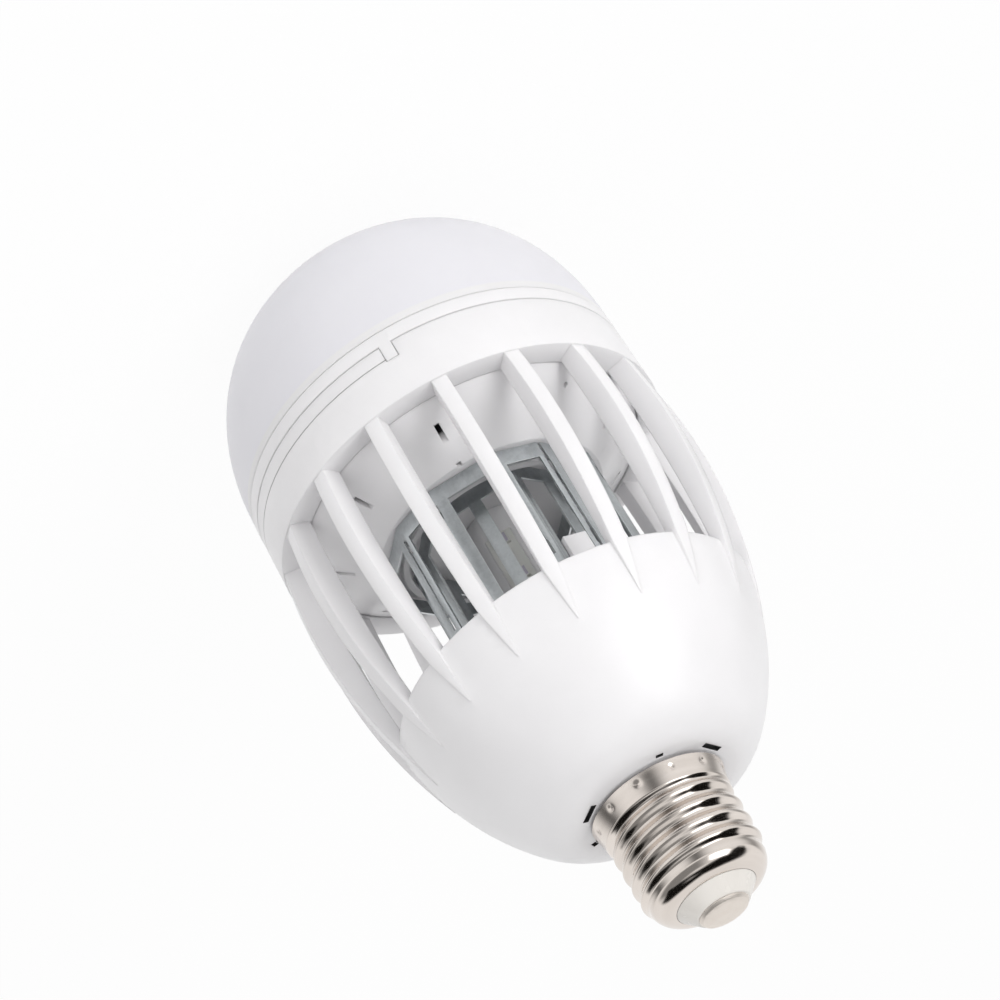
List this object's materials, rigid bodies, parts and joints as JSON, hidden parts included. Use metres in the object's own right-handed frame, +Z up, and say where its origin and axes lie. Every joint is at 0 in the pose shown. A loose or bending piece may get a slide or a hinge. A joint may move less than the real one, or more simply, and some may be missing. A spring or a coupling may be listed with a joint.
{
  "type": "insect killer light bulb",
  "caption": "Screw-cap lamp with a ribbed open cage round two nested electric grids and a milky dome at its end.",
  "frame": {"origin": "middle of the centre contact's end face, the highest point of the hanging lamp", "axes": "+Z up along the lamp's axis, out of the screw cap; -Y through the middle of the window that faces the picture's camera; the diffuser points down"},
  "size_m": [0.0862, 0.0859, 0.1675],
  "materials": {
    "nickel": "nickel-plated, bright",
    "contact_metal": "nickel-plated, matte",
    "white_plastic": "satin white moulding",
    "insulator_white": "smooth white",
    "milky_plastic": "milky, satin",
    "zinc_sheet": "zinc-plated, bluish grey",
    "aluminium_plate": "plain",
    "circuit_board": "green solder mask",
    "white_board": "white solder mask",
    "ferrite": "dull",
    "dark_sleeve": "shrunk sleeve",
    "orange_epoxy": "dipped",
    "black_epoxy": "moulded",
    "green_lacquer": "lacquered",
    "red_insulation": "smooth",
    "black_insulation": "smooth",
    "white_insulation": "smooth",
    "phosphor": "silicone over phosphor",
    "violet_led": "clear lens",
    "zinc_screw": "zinc-plated"
  },
  "bodies": {
    "root": {"cap_shell": "nickel", "cap_insulator": "insulator_white", "cap_contact": "contact_metal", "cage_housing": "white_plastic", "base_plate": "white_plastic", "base_screws": "zinc_screw", "driver_board": "circuit_board", "smoothing_capacitor": "dark_sleeve", "hv_transformer": "ferrite", "film_capacitors": "orange_epoxy", "bridge_rectifier": "black_epoxy", "fuse_resistor": "green_lacquer", "live_wire": "red_insulation", "neutral_wire": "black_insulation", "grid_wires": "red_insulation", "outer_grid": "zinc_sheet", "inner_grid": "zinc_sheet", "core_tube": "white_plastic", "uv_board": "white_board", "uv_leds": "violet_led", "grid_cover": "white_plastic", "lamp_wires": "white_insulation", "heat_sink": "aluminium_plate", "light_board": "white_board", "light_leds": "phosphor", "board_screws": "zinc_screw", "lamp_ring": "white_plastic", "diffuser": "milky_plastic"}
  },
  "joints": []
}
